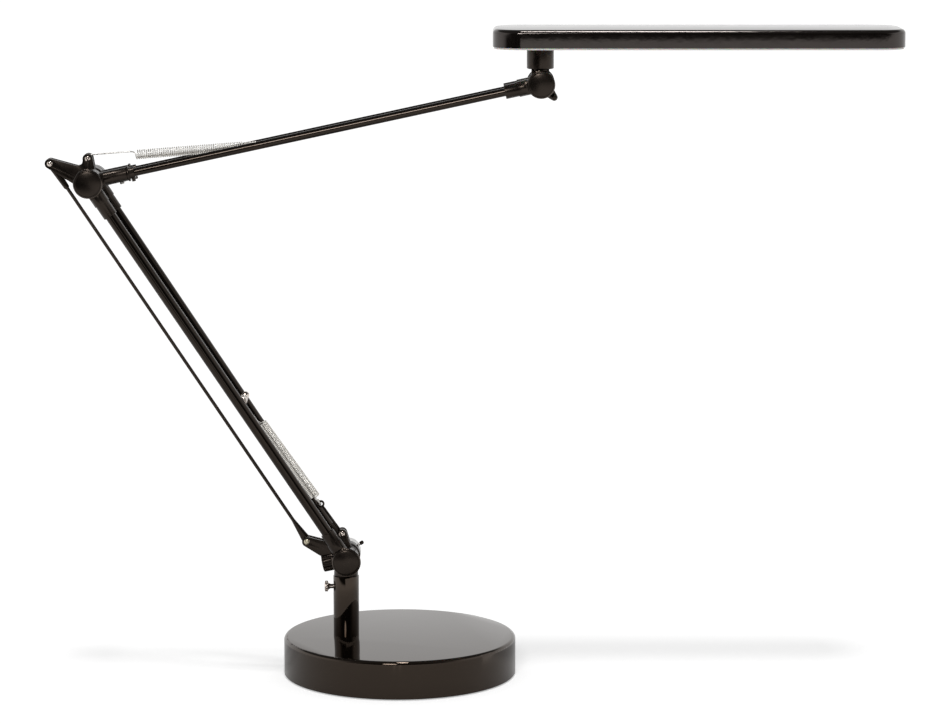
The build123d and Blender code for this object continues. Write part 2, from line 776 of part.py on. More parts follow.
with BuildPart() as spring_link:
    with BuildSketch(lower_frame.offset(-1.0)):
        with Locations((link_length, 0)):
            Circle(ring_radii[1])
            Circle(ring_radii[0], mode=Mode.SUBTRACT)
        with Locations((link_length / 2, 0)):
            Rectangle(link_length - 5.6, 2.1)
        Circle(3.9)
        Circle(rivet_radius + side_gap + running_gap, mode=Mode.SUBTRACT)
    extrude(amount=2.0)
keep(spring_link.part, "spring_link")

# =====================================================================
# Parallel rod
# =====================================================================
rod_start = at_lug(base_pivot, rod_lug)
rod_frame = front_plane(rod_start, lower_angle)
rod_direction = along(lower_angle)
open_gap = 0.3           # the rod's upper eye is loose on its rivet


def rod_section(distance):
    return Plane(origin=rod_start + rod_direction * distance, x_dir=along(lower_angle + 90), z_dir=rod_direction)


with BuildPart() as parallel_rod:
    with BuildSketch(rod_section(22)):
        Circle(rod_radius)
    extrude(amount=lower_length - 22 - 26)
    with BuildSketch(rod_section(2.5)):
        Ellipse(3.8, 2.0)
    with BuildSketch(rod_section(22)):
        Circle(rod_radius)
    loft()
    with BuildSketch(rod_section(lower_length - 26)):
        Circle(rod_radius)
    with BuildSketch(rod_section(lower_length - 24.5)):
        Circle(2.4)
    loft()
    with BuildSketch(rod_section(lower_length - 24.5)):
        Circle(2.4)
    with BuildSketch(rod_section(lower_length - 2.5)):
        Ellipse(3.4, 2.0)
    loft()
    with BuildSketch(rod_frame.offset(-2)):
        with Locations((0, 0), (lower_length, 0)):
            Circle(rod_eye_radius)
    extrude(amount=4)
    with BuildSketch(rod_frame.offset(-2.5)):
        Circle(rivet_radius + running_gap)
        with Locations((lower_length, 0)):
            Circle(rivet_radius + open_gap)
    extrude(amount=5, mode=Mode.SUBTRACT)
keep(parallel_rod.part, "parallel_rod")

# =====================================================================
# Elbow crank
# =====================================================================
elbow_crank = crank_plate(elbow_pivot, elbow_spring_lug, 9.5, 5.5, False)
keep(pair(elbow_crank), "elbow_crank_plates")
with BuildPart() as elbow_spacer:
    with BuildSketch(front_plane(elbow_pivot).offset(-tang_half)):
        Circle(6)
        Circle(bolt_radius + running_gap, mode=Mode.SUBTRACT)
    extrude(amount=2 * tang_half)
keep(elbow_spacer.part, "elbow_spacer")
with BuildPart() as elbow_rivets:
    add(rivet(at_lug(elbow_pivot, rod_lug), 2.4, 1.1, False))
    add(rivet(at_lug(elbow_pivot, elbow_spring_lug), 2.3, 1.0, False))
keep(elbow_rivets.part, "elbow_rivets")

# =====================================================================
# Upper arm
# =====================================================================
upper_socket = arm_socket(
    elbow_pivot, upper_angle, upper_eye, upper_near_elbow, upper_near_head,
    upper_tube_radius, (5.9, 32.5), (5.95, 22.0), running_gap,
)
head_socket = arm_socket(
    head_pivot, upper_angle + 180, upper_eye, upper_near_head, upper_near_elbow,
    upper_tube_radius, (6.05, 31.2), (6.7, 19.7), press_gap,
)
keep(pair(upper_socket), "upper_sockets")
keep(pair(bored_for_head(head_socket, head_pivot, upper_eye[1]), head_socket), "head_sockets")

upper_tube = arm_tube(upper_near_elbow, upper_near_head, upper_tube_radius, 14.2)
keep(pair(upper_tube), "upper_tubes")

collar_at = 32.7
collar_width = 1.6
boss_at = collar_at + 4.0
upper_direction = along(upper_angle)
below = along(upper_angle - 90)
with BuildPart() as tube_collars:
    with BuildSketch(Plane(origin=upper_near_elbow + upper_direction * collar_at, z_dir=upper_direction)):
        Circle(6.7)
    extrude(amount=collar_width)
    with BuildSketch(Plane(origin=upper_near_elbow + upper_direction * collar_at, z_dir=upper_direction)):
        Circle(4.9)
    extrude(amount=6.2)
    with BuildSketch(Plane(origin=upper_near_elbow + upper_direction * boss_at, z_dir=below)):
        Circle(1.6)
    extrude(amount=7.4)
    with BuildSketch(Plane(origin=upper_near_elbow + upper_direction * (collar_at - 1), z_dir=upper_direction)):
        Circle(upper_tube_radius + press_gap)
    extrude(amount=9, mode=Mode.SUBTRACT)
    mirror(about=Plane.XZ)
keep(tube_collars.part, "tube_collars")

with BuildPart() as sleeve_screws:
    with BuildSketch(Plane(origin=upper_near_elbow + upper_direction * 26.5 + below * 6.0, z_dir=below)):
        Circle(1.9)
    extrude(amount=1.6)
    fillet(sleeve_screws.edges().sort_by(Axis(elbow_pivot, below))[-1], radius=0.5)
    mirror(about=Plane.XZ)
keep(sleeve_screws.part, "sleeve_screws")

keep(
    spring_anchor(upper_near_elbow, upper_near_head, upper_anchor_at, upper_anchor_pin, upper_tube_radius, 13),
    "upper_spring_anchor",
)
keep(pivot_bolt(head_pivot, upper_eye[1]), "head_bolt")
with BuildPart() as head_caps:
    add(pivot_cap(head_pivot, upper_eye[1], head_cap_radius))
    mirror(about=Plane.XZ)
keep(head_caps.part, "head_caps")
with BuildPart() as head_trim_rings:
    add(trim_ring(head_pivot, upper_eye[1], head_cap_radius + 0.4))
    mirror(about=Plane.XZ)
keep(head_trim_rings.part, "head_trim_rings")

# =====================================================================
# Head knuckle: tang between the upper arm's eyes, spigot that the head turns on, and a stop peg
# =====================================================================
swivel_axis = Plane(origin=(swivel_x, 0, 0))
spigot_top = head_bottom + 6.5
neck_top = stub_bottom - 0.2
peg_angle = -45.8
peg_reach = 16.0
knuckle_half = upper_eye[0] - side_gap
with BuildPart() as head_knuckle:
    with BuildSketch(front_plane(head_pivot).offset(-knuckle_half)):
        Circle(10)
        with Locations((swivel_x - head_pivot.X, (neck_top - head_pivot.Z) / 2)):
            Rectangle(15, neck_top - head_pivot.Z)
        with BuildSketch() as peg_lug:
            Circle(7)
            with Locations((peg_reach * cos(radians(peg_angle)), peg_reach * sin(radians(peg_angle)))):
                Circle(2.9)
            make_hull()
    extrude(amount=2 * knuckle_half)
    with BuildSketch(swivel_axis.offset(neck_top - 1.2)):
        Circle(7.5)
    extrude(amount=1.2)
    with BuildSketch(swivel_axis.offset(neck_top)):
        Circle(spigot_radius)
    extrude(amount=spigot_top - neck_top)
    chamfer(head_knuckle.edges().group_by(Axis.Z)[-1], length=0.6)
    with BuildSketch(swivel_axis.offset(head_bottom + 3.6)):
        Circle(spigot_radius)
        Circle(spigot_radius - 0.9, mode=Mode.SUBTRACT)
    extrude(amount=1.2, mode=Mode.SUBTRACT)
    with BuildSketch(front_plane(head_pivot).offset(-knuckle_half)):
        Circle(bolt_radius + running_gap)
    extrude(amount=2 * knuckle_half, mode=Mode.SUBTRACT)
    with BuildSketch(front_plane(head_pivot + along(peg_angle) * peg_reach).offset(-knuckle_half)):
        Circle(1.5)
    extrude(amount=2 * knuckle_half, mode=Mode.SUBTRACT)
keep(head_knuckle.part, "head_knuckle")

peg_plane = front_plane(head_pivot + along(peg_angle) * peg_reach)
with BuildPart() as stop_peg:
    with BuildSketch(peg_plane.offset(-9)):
        Circle(1.5)
    extrude(amount=18)
    with BuildSketch(peg_plane.offset(knuckle_half + 0.05)):
        Circle(2.4)
    extrude(amount=4)
    fillet(stop_peg.edges().sort_by(Axis.Y)[0], radius=1.2)
keep(stop_peg.part, "stop_peg")

with BuildPart() as spigot_clip:
    with BuildSketch(swivel_axis.offset(head_bottom + 3.7)):
        Circle(7.2)
        Circle(spigot_radius - 0.88, mode=Mode.SUBTRACT)
    extrude(amount=1.0)
keep(spigot_clip.part, "spigot_clip")

# =====================================================================
# Head: shell, frame, stub, light engine, diffuser and switch
# =====================================================================
head_centre = Plane(origin=((head_x[0] + head_x[1]) / 2, 0, 0))
head_length = head_x[1] - head_x[0]
frame_height = 2.4
frame_top = head_bottom + frame_height
light_centre = Plane(origin=(268.0, 0, 0))
light_length = 226.0
light_width = 58.0
head_screw_x = (96.0, 409.0)
head_screw_y = 31.0


def head_outline(inset):
    RectangleRounded(head_length - 2 * inset, head_width - 2 * inset, head_corner - inset)


with BuildPart() as head_shell:
    with BuildSketch(head_centre.offset(head_bottom)):
        head_outline(0)
    extrude(amount=head_top - head_bottom)
    fillet(head_shell.edges().group_by(Axis.Z)[-1], radius=head_edge)
    with BuildSketch(head_centre.offset(head_bottom)):
        head_outline(head_wall)
    extrude(amount=head_top - head_bottom - head_wall - 1.5, mode=Mode.SUBTRACT)
    with BuildSketch(Plane.XY.offset(frame_top)):
        for x in head_screw_x:
            with Locations((x, head_screw_y), (x, -head_screw_y)):
                Circle(3.2)
                Circle(1.05, mode=Mode.SUBTRACT)
    extrude(amount=head_top - head_wall - frame_top - 1.0)
keep(head_shell.part, "head_shell")

with BuildPart() as head_frame:
    with BuildSketch(head_centre.offset(head_bottom)):
        head_outline(head_wall + 0.05)
    extrude(amount=frame_height)
    with BuildSketch(light_centre.offset(head_bottom)):
        RectangleRounded(light_length - 6, light_width - 6, 3)
    extrude(amount=frame_height, mode=Mode.SUBTRACT)
    with BuildSketch(swivel_axis.offset(head_bottom)):
        Circle(7.0)
        with PolarLocations(9.2, 3, start_angle=90):
            Circle(1.1)
    extrude(amount=frame_height, mode=Mode.SUBTRACT)
    with BuildSketch(Plane.XY.offset(head_bottom)):
        with Locations((button_x, 0)):
            Circle(button_radius + 0.35)
        for x in head_screw_x:
            with Locations((x, head_screw_y), (x, -head_screw_y)):
                Circle(1.3)
    extrude(amount=frame_height, mode=Mode.SUBTRACT)
keep(head_frame.part, "head_frame")

with BuildPart() as diffuser:
    with BuildSketch(head_centre.offset(diffuser_bottom)):
        head_outline(0.9)
    extrude(amount=head_bottom - diffuser_bottom)
    fillet(diffuser.edges().group_by(Axis.Z)[0], radius=0.6)
    with BuildSketch(Plane.XY.offset(diffuser_bottom)):
        with Locations((swivel_x, 0)):
            Circle(stub_radius + 0.3)
        with Locations((button_x, 0)):
            Circle(button_radius + 0.35)
    extrude(amount=head_bottom - diffuser_bottom, mode=Mode.SUBTRACT)
keep(diffuser.part, "diffuser")

with BuildPart() as led_board:
    with BuildSketch(light_centre.offset(frame_top)):
        RectangleRounded(light_length, light_width, 2)
    extrude(amount=1.6)
keep(led_board.part, "led_board")

with BuildPart() as led_chips:
    with BuildSketch(light_centre.offset(frame_top - 0.8)):
        with GridLocations(18, 16, 12, 3):
            Rectangle(3.5, 2.8)
    extrude(amount=0.8)
keep(led_chips.part, "led_chips")

with BuildPart() as heat_spreader:
    with BuildSketch(light_centre.offset(frame_top + 1.6)):
        RectangleRounded(light_length, light_width, 2)
    extrude(amount=1.5)
    with BuildSketch(light_centre.offset(frame_top + 3.1)):
        with GridLocations(0, 12, 1, 5):
            Rectangle(light_length - 10, 1.4)
    extrude(amount=3)
keep(heat_spreader.part, "heat_spreader")

with BuildPart() as head_stub:
    with BuildSketch(swivel_axis.offset(stub_bottom)):
        Circle(stub_radius)
    extrude(amount=head_bottom - stub_bottom)
    chamfer(head_stub.edges().group_by(Axis.Z)[0], length=0.5)
    with BuildSketch(swivel_axis.offset(stub_bottom)):
        Circle(spigot_radius + running_gap)
    extrude(amount=head_bottom - stub_bottom, mode=Mode.SUBTRACT)
    with BuildSketch(swivel_axis.offset(head_bottom)):
        with PolarLocations(9.2, 3, start_angle=90):
            Circle(0.9)
    extrude(amount=-8, mode=Mode.SUBTRACT)
keep(head_stub.part, "head_stub")

with BuildPart() as head_screws:
    with BuildSketch(swivel_axis.offset(head_bottom - 6)):
        with PolarLocations(9.2, 3, start_angle=90):
            Circle(0.88)
    extrude(amount=6 + frame_height)
    with BuildSketch(swivel_axis.offset(frame_top)):
        with PolarLocations(9.2, 3, start_angle=90):
            Circle(1.5)
    extrude(amount=1.4)
    for x in head_screw_x:
        with BuildSketch(Plane.XY.offset(head_bottom + 0.1)):
            with Locations((x, head_screw_y), (x, -head_screw_y)):
                Circle(1.0)
        extrude(amount=10)
keep(head_screws.part, "head_screws")

button_travel = 0.8
with BuildPart() as power_button:
    with BuildSketch(Plane.XY.offset(diffuser_bottom - 1.4)):
        with Locations((button_x, 0)):
            Circle(button_radius)
    extrude(amount=frame_top + 0.25 - diffuser_bottom + 1.4)
    fillet(power_button.edges().group_by(Axis.Z)[0], radius=0.5)
    with BuildSketch(Plane.XY.offset(frame_top + 0.25)):
        with Locations((button_x, 0)):
            Circle(button_radius + 1.3)
    extrude(amount=0.9)
keep(power_button.part, "power_button")

with BuildPart() as switch_body:
    with BuildSketch(Plane.XY.offset(frame_top + 0.25 + 0.9 + button_travel + 0.25)):
        with Locations((button_x, 0)):
            Rectangle(11, 11)
    extrude(amount=3.5)
    with BuildSketch(Plane.XY.offset(frame_top)):
        with Locations((button_x - 6.2, 0), (button_x + 6.2, 0)):
            Rectangle(1.4, 11)
    extrude(amount=5.7)
keep(switch_body.part, "switch_body")
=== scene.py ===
import bpy
import bmesh
import json
import math
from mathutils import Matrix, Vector


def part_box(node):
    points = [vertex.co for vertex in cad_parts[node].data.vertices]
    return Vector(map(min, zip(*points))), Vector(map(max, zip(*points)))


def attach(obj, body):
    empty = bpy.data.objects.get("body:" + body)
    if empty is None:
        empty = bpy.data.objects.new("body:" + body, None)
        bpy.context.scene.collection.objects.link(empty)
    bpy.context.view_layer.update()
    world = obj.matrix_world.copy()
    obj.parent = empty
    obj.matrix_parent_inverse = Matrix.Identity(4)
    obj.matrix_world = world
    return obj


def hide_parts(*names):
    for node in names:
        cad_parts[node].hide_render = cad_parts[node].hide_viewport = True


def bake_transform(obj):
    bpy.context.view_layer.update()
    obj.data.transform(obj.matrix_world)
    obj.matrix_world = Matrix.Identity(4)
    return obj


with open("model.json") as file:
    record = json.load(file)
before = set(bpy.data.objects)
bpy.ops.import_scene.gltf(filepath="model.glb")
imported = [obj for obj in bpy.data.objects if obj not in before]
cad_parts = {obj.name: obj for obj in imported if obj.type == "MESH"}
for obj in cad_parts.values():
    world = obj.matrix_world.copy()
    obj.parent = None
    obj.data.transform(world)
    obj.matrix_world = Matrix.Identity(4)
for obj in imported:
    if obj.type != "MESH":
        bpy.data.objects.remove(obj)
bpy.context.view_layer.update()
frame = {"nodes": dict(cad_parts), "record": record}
nodes = frame["nodes"]
mm = 0.001
slotOf = {part["node"]: part["material_slot"] for part in frame["record"]["subparts"]}
bodyOf = {node: body for body, names in frame["record"]["behaviour"]["bodies"].items() for node in names}
print("frame loaded")

# the arms' own lines, the same as in the solids: X to the right, Z up, seen from the front
arms = {"basePivot": (-45.2, 101.5), "lowerAngle": 123.4, "lowerLength": 391.0, "upperAngle": 12.2}


def heading(degrees):
    return Vector((math.cos(math.radians(degrees)), 0, math.sin(math.radians(degrees))))


def flat(x, z):
    return Vector((x * mm, 0, z * mm))


basePivot = flat(*arms["basePivot"])
elbowPivot = basePivot + heading(arms["lowerAngle"]) * arms["lowerLength"] * mm

# camera at the photograph's viewing angle
view = {"lens": 132.63, "sensor": 36.0, "place": (0.06506, -2.956, 0.7367), "tilt": 81.07}
cameraData = bpy.data.cameras.new("photoCamera")
cameraData.lens = view["lens"]
cameraData.sensor_width = view["sensor"]
cameraData.clip_end = 200
camera = bpy.data.objects.new("photoCamera", cameraData)
camera.location = view["place"]
camera.rotation_euler = (math.radians(view["tilt"]), 0, 0)
bpy.context.scene.collection.objects.link(camera)
bpy.context.scene.camera = camera
bpy.context.scene.view_settings.view_transform = "Standard"


# material helpers; every pattern reads Object coordinates, so sizes are in features per metre
def newMaterial(name):
    material = bpy.data.materials.new(name)
    material.use_nodes = True
    tree = material.node_tree
    return material, tree, tree.nodes["Principled BSDF"]


def objectNoise(tree, scale, detail=3.0, stretch=(1, 1, 1)):
    coords = tree.nodes.new("ShaderNodeTexCoord")
    mapping = tree.nodes.new("ShaderNodeMapping")
    mapping.inputs["Scale"].default_value = stretch
    noise = tree.nodes.new("ShaderNodeTexNoise")
    noise.inputs["Scale"].default_value = scale
    noise.inputs["Detail"].default_value = detail
    tree.links.new(coords.outputs["Object"], mapping.inputs["Vector"])
    tree.links.new(mapping.outputs["Vector"], noise.inputs["Vector"])
    return noise.outputs["Fac"]


noiseSpan = (0.3, 0.7)  # where most of the noise lies


def spread(tree, value, low, high):  # noise to a range
    remap = tree.nodes.new("ShaderNodeMapRange")
    remap.inputs["From Min"].default_value = noiseSpan[0]
    remap.inputs["From Max"].default_value = noiseSpan[1]
    remap.inputs["To Min"].default_value = low
    remap.inputs["To Max"].default_value = high
    tree.links.new(value, remap.inputs["Value"])
    return remap.outputs["Result"]


def tint(tree, value, dark, light):
    mix = tree.nodes.new("ShaderNodeMix")
    mix.data_type = "RGBA"
    mix.inputs["A"].default_value = (*dark, 1)
    mix.inputs["B"].default_value = (*light, 1)
    tree.links.new(value, mix.inputs["Factor"])
    return mix.outputs["Result"]


def relief(tree, shader, value, height, strength=1.0):
    bump = tree.nodes.new("ShaderNodeBump")
    bump.inputs["Distance"].default_value = height
    bump.inputs["Strength"].default_value = strength
    tree.links.new(value, bump.inputs["Height"])
    tree.links.new(bump.outputs["Normal"], shader.inputs["Normal"])


# paints and mouldings: clouded colour, uneven gloss, fine orange peel or grain
def coated(name, look):
    material, tree, shader = newMaterial(name)
    cloud = spread(tree, objectNoise(tree, look.get("cloud", 35), 4), 0, 1)
    tree.links.new(tint(tree, cloud, look["dark"], look["light"]), shader.inputs["Base Color"])
    tree.links.new(spread(tree, objectNoise(tree, 90, 5), *look["rough"]), shader.inputs["Roughness"])
    relief(tree, shader, objectNoise(tree, look["grain"], 2), look["height"])
    shader.inputs["IOR"].default_value = look.get("ior", 1.5)
    shader.inputs["Specular Tint"].default_value = (*look.get("tint", (1, 1, 1)), 1)
    return material


# bare metals: clouding with drawn or turned lines
def bare(name, look):
    material, tree, shader = newMaterial(name)
    shader.inputs["Metallic"].default_value = 1
    cloud = spread(tree, objectNoise(tree, 120, 3), 0, 1)
    tree.links.new(tint(tree, cloud, look["dark"], look["light"]), shader.inputs["Base Color"])
    lines = objectNoise(tree, look["grain"], 3, look.get("stretch", (1, 1, 1)))
    tree.links.new(spread(tree, lines, *look["rough"]), shader.inputs["Roughness"])
    relief(tree, shader, lines, look["height"])
    return material


warm = (1.0, 0.8, 0.66)  # the black finishes reflect with a warm cast
blacks = {
    "gloss_black": {
        "dark": (0.0012, 0.0008, 0.0006), "light": (0.0026, 0.0018, 0.0013), "rough": (0.02, 0.05),
        "grain": 260, "height": 0.00001, "tint": (0.62, 0.48, 0.38), "ior": 1.8,
    },
    "tube_black": {
        "dark": (0.0012, 0.0009, 0.0007), "light": (0.003, 0.0022, 0.0018), "rough": (0.07, 0.12),
        "grain": 700, "height": 0.00001, "tint": warm, "ior": 1.42,
    },
    "satin_black": {
        "dark": (0.002, 0.0015, 0.0012), "light": (0.005, 0.0038, 0.0032), "rough": (0.2, 0.3),
        "grain": 1400, "height": 0.00002, "tint": warm, "ior": 1.45,
    },
    "moulded_black": {
        "dark": (0.0018, 0.0013, 0.001), "light": (0.0045, 0.0035, 0.003), "rough": (0.22, 0.32),
        "grain": 2200, "height": 0.00002, "tint": warm, "ior": 1.45,
    },
    "dark_ring": {
        "dark": (0.004, 0.003, 0.0026), "light": (0.009, 0.0075, 0.0066), "rough": (0.08, 0.14),
        "grain": 600, "height": 0.00001, "tint": warm, "ior": 1.9,
    },
    "head_black": {
        "dark": (0.0022, 0.0015, 0.0012), "light": (0.0042, 0.003, 0.0025), "rough": (0.05, 0.1),
        "grain": 240, "height": 0.00002, "tint": (1.0, 0.88, 0.82), "ior": 1.6,
    },
    "inner_black": {
        "dark": (0.012, 0.011, 0.01), "light": (0.022, 0.021, 0.02), "rough": (0.45, 0.6),
        "grain": 1800, "height": 0.00004,
    },
    "pad_rubber": {
        "dark": (0.01, 0.01, 0.01), "light": (0.022, 0.021, 0.02), "rough": (0.7, 0.9),
        "grain": 1600, "height": 0.0002,
    },
    "board_white": {
        "dark": (0.7, 0.7, 0.67), "light": (0.8, 0.8, 0.77), "rough": (0.35, 0.5),
        "grain": 900, "height": 0.00002,
    },
    "chip_yellow": {
        "dark": (0.7, 0.56, 0.12), "light": (0.8, 0.68, 0.22), "rough": (0.3, 0.5),
        "grain": 1500, "height": 0.00003,
    },
}
metals = {
    "steel": {
        "dark": (0.42, 0.4, 0.38), "light": (0.6, 0.58, 0.55), "rough": (0.22, 0.4),
        "grain": 900, "height": 0.00001,
    },
    "spring_steel": {
        "dark": (0.85, 0.82, 0.77), "light": (0.98, 0.96, 0.92), "rough": (0.34, 0.46),
        "grain": 1500, "height": 0.00001,
    },
    "nickel": {
        "dark": (0.58, 0.5, 0.44), "light": (0.78, 0.7, 0.64), "rough": (0.1, 0.24),
        "grain": 700, "height": 0.00001,
    },
    "brass": {
        "dark": (0.56, 0.5, 0.36), "light": (0.78, 0.73, 0.57), "rough": (0.28, 0.45),
        "grain": 900, "height": 0.00003,
    },
    "turned_aluminium": {
        "dark": (0.66, 0.65, 0.64), "light": (0.84, 0.83, 0.82), "rough": (0.3, 0.46), "grain": 40,
        "height": 0.00002, "stretch": (1, 60, 1),
    },
    "iron": {
        "dark": (0.03, 0.03, 0.03), "light": (0.07, 0.068, 0.065), "rough": (0.55, 0.8),
        "grain": 700, "height": 0.0003,
    },
    "spreader": {
        "dark": (0.45, 0.45, 0.45), "light": (0.62, 0.62, 0.61), "rough": (0.3, 0.5), "grain": 60,
        "height": 0.00003, "stretch": (1, 40, 1),
    },
}
paintNames = {
    "gloss_black": "glossBlackPaint", "tube_black": "tubeBlackPaint", "satin_black": "satinBlackPaint",
    "moulded_black": "mouldedBlack", "head_black": "headGlossBlack", "inner_black": "innerMoulding",
    "dark_ring": "darkTrim",
    "pad_rubber": "padRubber", "board_white": "boardWhite", "chip_yellow": "chipPhosphor",
    "steel": "brightSteel", "spring_steel": "springWire", "nickel": "nickelPlate", "brass": "rivetBrass",
    "turned_aluminium": "turnedAluminium", "iron": "castIron", "spreader": "extrudedAluminium",
}
finishes = {slot: coated(paintNames[slot], look) for slot, look in blacks.items()}
finishes.update({slot: bare(paintNames[slot], look) for slot, look in metals.items()})


# milky sheet with fine prisms moulded in its face
opal = {
    "dark": (0.72, 0.7, 0.66), "light": (0.82, 0.8, 0.77), "cloud": 20, "prisms": 420, "relief": 0.0002,
    "rough": 0.3, "milk": 0.4, "milkDepth": 0.002,
}


def opalSheet():
    material, tree, shader = newMaterial("opalDiffuser")
    cloud = spread(tree, objectNoise(tree, opal["cloud"], 2), 0, 1)
    tree.links.new(tint(tree, cloud, opal["dark"], opal["light"]), shader.inputs["Base Color"])
    prisms = tree.nodes.new("ShaderNodeTexVoronoi")
    prisms.inputs["Scale"].default_value = opal["prisms"]
    coords = tree.nodes.new("ShaderNodeTexCoord")
    tree.links.new(coords.outputs["Object"], prisms.inputs["Vector"])
    relief(tree, shader, prisms.outputs["Distance"], opal["relief"])
    shader.inputs["Roughness"].default_value = opal["rough"]
    shader.inputs["Subsurface Weight"].default_value = opal["milk"]
    shader.inputs["Subsurface Scale"].default_value = opal["milkDepth"]
    return material


finishes["diffuser_white"] = opalSheet()
for node in nodes:
    nodes[node].data.materials.clear()
    nodes[node].data.materials.append(finishes[slotOf[node]])
print("finishes made and put on the solids")


# making and finishing a piece; sizes in metres, angles in degrees
weld = {"distance": 0.000002, "flatAngle": 0.3, "creaseAngle": 34}


def newPiece(name, mesh, material):
    piece = bpy.data.objects.new(name, mesh)
    bpy.context.scene.collection.objects.link(piece)
    mesh.materials.clear()
    mesh.materials.append(material)
    return piece


def bakeModifiers(piece):
    evaluated = piece.evaluated_get(bpy.context.evaluated_depsgraph_get())
    mesh = bpy.data.meshes.new_from_object(evaluated)
    piece.modifiers.clear()
    piece.data = mesh


def smoothByCrease(mesh):
    work = bmesh.new()
    work.from_mesh(mesh)
    for face in work.faces:
        face.smooth = True
    for edge in work.edges:
        edge.smooth = edge.is_manifold and edge.calc_face_angle(0) < math.radians(weld["creaseAngle"])
    work.to_mesh(mesh)
    work.free()


def standsFor(piece, *names):
    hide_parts(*names)
    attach(piece, bodyOf[names[0]])


# the piece for a solid: its welded copy with softened edges and smooth faces
def dressed(node, bevel):
    mesh = nodes[node].data.copy()
    work = bmesh.new()
    work.from_mesh(mesh)
    bmesh.ops.remove_doubles(work, verts=work.verts, dist=weld["distance"])
    flatAngle = math.radians(weld["flatAngle"])
    bmesh.ops.dissolve_limit(work, angle_limit=flatAngle, verts=work.verts, edges=work.edges)
    work.to_mesh(mesh)
    work.free()
    piece = newPiece(node + "_piece", mesh, finishes[slotOf[node]])
    if bevel:
        soften = piece.modifiers.new("soften", "BEVEL")
        soften.width = bevel * mm
        soften.segments = 2
        soften.limit_method = "ANGLE"
        soften.angle_limit = math.radians(weld["creaseAngle"])
        bakeModifiers(piece)
    smoothByCrease(piece.data)
    standsFor(piece, node)
    return piece


# edge softness of each solid, in millimetres
edges = {
    "base_cover": 0, "base_pad": 0.3, "cord_grommet": 0.1, "post": 0.2, "thumbscrew": 0.12,
    "swivel_stem": 0.2, "base_crank_plates": 0.25, "friction_washers": 0, "rod_rivet_lower": 0,
    "spring_rivet_lower": 0.1, "tension_knob": 0.3, "base_sockets": 0.3, "elbow_sockets": 0.3,
    "lower_tubes": 0, "lower_trim_rings": 0.12,
    "lock_lever": 0.1, "lever_tip": 0.1, "spring_link": 0.2, "parallel_rod": 0.15,
    "elbow_crank_plates": 0.25, "elbow_rivets": 0, "upper_sockets": 0.3, "head_sockets": 0.3,
    "upper_tubes": 0, "tube_collars": 0.2, "sleeve_screws": 0.1, "head_trim_rings": 0.12,
    "head_knuckle": 0.3, "stop_peg": 0.1, "head_shell": 0, "head_frame": 0.2, "diffuser": 0.15,
    "head_stub": 0.2, "power_button": 0.15,
}
# blackened where the solid's own slot is brighter
darkened = {
    "spring_link": "satin_black", "stop_peg": "satin_black", "lower_trim_rings": "dark_ring",
    "head_trim_rings": "dark_ring",
}
for node, softness in edges.items():
    piece = dressed(node, softness)
    if node in darkened:
        piece.data.materials[0] = finishes[darkened[node]]
print("solids dressed")


# turned forms: an outline of (radius, distance along the axis) spun round the axis, closed at both poles
def turned(outlines, finish, name, count=96):
    work = bmesh.new()
    for outline, centre, axis in outlines:
        sideways = Vector((1, 0, 0))
        third = axis.cross(sideways)
        rings = []
        for radius, height in outline:
            middle = centre + axis * height * mm
            spots = count if radius else 1
            rings.append([
                work.verts.new(middle + (sideways * math.cos(turn) + third * math.sin(turn)) * radius * mm)
                for turn in (2 * math.pi * step / count for step in range(spots))
            ])
        for lower, higher in zip(rings, rings[1:]):
            for step in range(count):
                after = (step + 1) % count
                corners = [lower[step % len(lower)], lower[after % len(lower)]]
                corners += [higher[after % len(higher)], higher[step % len(higher)]]
                work.faces.new(list(dict.fromkeys(corners)))
    bmesh.ops.recalc_face_normals(work, faces=work.faces)
    mesh = bpy.data.meshes.new(name)
    work.to_mesh(mesh)
    work.free()
    piece = newPiece(name, mesh, finishes[finish])
    smoothByCrease(mesh)
    return piece


# domed caps over the pivot bolts, with a fine groove inside the rim
cap = {"dome": 1.4, "rim": 1.2, "groove": 0.18, "rings": 14, "depth": 2.8}


def capOutline(radius, foot, crown):
    shoulder = radius - cap["rim"]
    top = [(shoulder * step / cap["rings"], crown - cap["dome"] * (step / cap["rings"]) ** 2)
           for step in range(cap["rings"])]
    edge = crown - cap["dome"]
    top += [(shoulder - 0.3, edge), (shoulder - 0.1, edge - cap["groove"]), (shoulder + 0.1, edge)]
    for turn in (math.radians(angle) for angle in range(15, 91, 15)):
        top.append((shoulder + cap["rim"] * math.sin(turn), edge - cap["rim"] * (1 - math.cos(turn))))
    return top + [(radius, foot), (0, foot)]


def makeCaps(node, sides):
    low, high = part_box(node)
    radius = (high[0] - low[0]) / 2 / mm
    middle = Vector(((low[0] + high[0]) / 2, 0, (low[2] + high[2]) / 2))
    outlines = []
    for side in sides:
        far = abs(low[1]) / mm
        outlines.append((capOutline(radius, far - cap["depth"], far), middle, Vector((0, side, 0))))
    piece = turned(outlines, slotOf[node], node + "_piece")
    standsFor(piece, node)


makeCaps("base_cap", (-1,))
makeCaps("elbow_cap", (-1,))
makeCaps("head_caps", (-1, 1))


